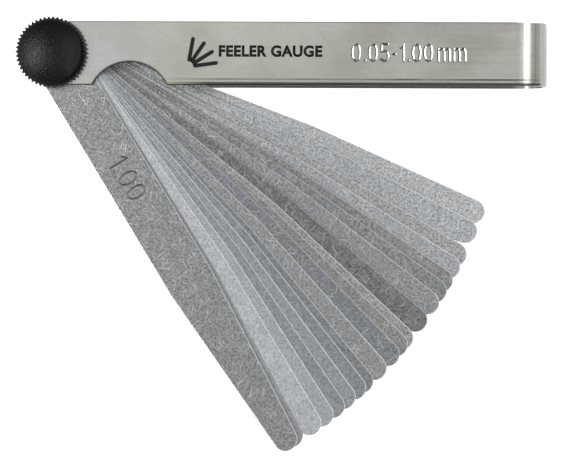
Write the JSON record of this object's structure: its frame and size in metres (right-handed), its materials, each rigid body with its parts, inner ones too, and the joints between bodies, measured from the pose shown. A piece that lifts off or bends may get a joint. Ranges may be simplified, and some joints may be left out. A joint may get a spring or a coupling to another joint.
{
  "type": "feeler gauge",
  "caption": "Folding feeler gauge: a fan of graded steel thickness blades on one pivot, folding into a U-shaped steel sheath and locked by a black knurled thumb nut.",
  "frame": {"origin": "on the pivot axis, in the plane of the pivot bolt's head face, which the gauge rests on", "axes": "+X from the pivot along the sheath to its closed end, +Z out of the front plate and the knob, +Y away from the fan of blades"},
  "size_m": [0.1089, 0.0888, 0.0192],
  "materials": {
    "sheath_steel": "brushed along its length",
    "blade_steel": "ground, with fine random scratches",
    "bolt_steel": "plain turned steel",
    "knob_black": "black oxide, satin with fine pits"
  },
  "bodies": {
    "sheath": {"sheath": "sheath_steel"},
    "pivot_bolt": {"pivot_bolt": "bolt_steel"},
    "knob": {"knob": "knob_black"},
    "blade_0_95": {"blade_0_95": "blade_steel"},
    "blade_0_90": {"blade_0_90": "blade_steel"},
    "blade_0_85": {"blade_0_85": "blade_steel"},
    "blade_0_80": {"blade_0_80": "blade_steel"},
    "blade_0_75": {"blade_0_75": "blade_steel"},
    "blade_0_70": {"blade_0_70": "blade_steel"},
    "blade_0_65": {"blade_0_65": "blade_steel"},
    "blade_0_60": {"blade_0_60": "blade_steel"},
    "blade_0_55": {"blade_0_55": "blade_steel"},
    "blade_0_50": {"blade_0_50": "blade_steel"},
    "blade_0_45": {"blade_0_45": "blade_steel"},
    "blade_0_40": {"blade_0_40": "blade_steel"},
    "blade_0_35": {"blade_0_35": "blade_steel"},
    "blade_0_30": {"blade_0_30": "blade_steel"},
    "blade_0_25": {"blade_0_25": "blade_steel"},
    "blade_0_20": {"blade_0_20": "blade_steel"},
    "blade_0_15": {"blade_0_15": "blade_steel"},
    "blade_0_10": {"blade_0_10": "blade_steel"},
    "blade_0_05": {"blade_0_05": "blade_steel"},
    "blade_1_00": {"blade_1_00": "blade_steel"}
  },
  "joints": [
    {"name": "knob_turn", "type": "hinge", "parent": "sheath", "child": "knob", "pos_m": [0, 0, 0.014], "axis": [0, 0, 1], "range_deg": [0, 180.2]},
    {"name": "bolt_slide", "type": "slide", "parent": "sheath", "child": "pivot_bolt", "axis": [0, 0, -1], "range_m": [0, 0.0004]},
    {"name": "open_0_95", "type": "hinge", "parent": "sheath", "child": "blade_0_95", "pos_m": [0, 0, 0.008], "axis": [0, 0, -1], "range_deg": [-20.3, 159.7]},
    {"name": "open_0_90", "type": "hinge", "parent": "sheath", "child": "blade_0_90", "pos_m": [0, 0, 0.008], "axis": [0, 0, -1], "range_deg": [-23, 157]},
    {"name": "open_0_85", "type": "hinge", "parent": "sheath", "child": "blade_0_85", "pos_m": [0, 0, 0.008], "axis": [0, 0, -1], "range_deg": [-26.3, 153.7]},
    {"name": "open_0_80", "type": "hinge", "parent": "sheath", "child": "blade_0_80", "pos_m": [0, 0, 0.008], "axis": [0, 0, -1], "range_deg": [-28.1, 151.9]},
    {"name": "open_0_75", "type": "hinge", "parent": "sheath", "child": "blade_0_75", "pos_m": [0, 0, 0.008], "axis": [0, 0, -1], "range_deg": [-30.1, 149.9]},
    {"name": "open_0_70", "type": "hinge", "parent": "sheath", "child": "blade_0_70", "pos_m": [0, 0, 0.008], "axis": [0, 0, -1], "range_deg": [-31.6, 148.4]},
    {"name": "open_0_65", "type": "hinge", "parent": "sheath", "child": "blade_0_65", "pos_m": [0, 0, 0.008], "axis": [0, 0, -1], "range_deg": [-33.4, 146.6]},
    {"name": "open_0_60", "type": "hinge", "parent": "sheath", "child": "blade_0_60", "pos_m": [0, 0, 0.008], "axis": [0, 0, -1], "range_deg": [-36.1, 143.9]},
    {"name": "open_0_55", "type": "hinge", "parent": "sheath", "child": "blade_0_55", "pos_m": [0, 0, 0.008], "axis": [0, 0, -1], "range_deg": [-39, 141]},
    {"name": "open_0_50", "type": "hinge", "parent": "sheath", "child": "blade_0_50", "pos_m": [0, 0, 0.008], "axis": [0, 0, -1], "range_deg": [-40.1, 139.9]},
    {"name": "open_0_45", "type": "hinge", "parent": "sheath", "child": "blade_0_45", "pos_m": [0, 0, 0.008], "axis": [0, 0, -1], "range_deg": [-41.7, 138.3]},
    {"name": "open_0_40", "type": "hinge", "parent": "sheath", "child": "blade_0_40", "pos_m": [0, 0, 0.008], "axis": [0, 0, -1], "range_deg": [-44.1, 135.9]},
    {"name": "open_0_35", "type": "hinge", "parent": "sheath", "child": "blade_0_35", "pos_m": [0, 0, 0.008], "axis": [0, 0, -1], "range_deg": [-46.5, 133.5]},
    {"name": "open_0_30", "type": "hinge", "parent": "sheath", "child": "blade_0_30", "pos_m": [0, 0, 0.008], "axis": [0, 0, -1], "range_deg": [-47.7, 132.3]},
    {"name": "open_0_25", "type": "hinge", "parent": "sheath", "child": "blade_0_25", "pos_m": [0, 0, 0.008], "axis": [0, 0, -1], "range_deg": [-49.5, 130.5]},
    {"name": "open_0_20", "type": "hinge", "parent": "sheath", "child": "blade_0_20", "pos_m": [0, 0, 0.008], "axis": [0, 0, -1], "range_deg": [-51.3, 128.7]},
    {"name": "open_0_15", "type": "hinge", "parent": "sheath", "child": "blade_0_15", "pos_m": [0, 0, 0.008], "axis": [0, 0, -1], "range_deg": [-53.1, 126.9]},
    {"name": "open_0_10", "type": "hinge", "parent": "sheath", "child": "blade_0_10", "pos_m": [0, 0, 0.008], "axis": [0, 0, -1], "range_deg": [-55, 125]},
    {"name": "open_0_05", "type": "hinge", "parent": "sheath", "child": "blade_0_05", "pos_m": [0, 0, 0.008], "axis": [0, 0, -1], "range_deg": [-57.8, 122.2]},
    {"name": "open_1_00", "type": "hinge", "parent": "sheath", "child": "blade_1_00", "pos_m": [0, 0, 0.008], "axis": [0, 0, -1], "range_deg": [-58.6, 121.4]}
  ],
  "couplings": [
    {"joint": "knob_turn", "follows": "bolt_slide", "rad_per_m": 7854}
  ]
}
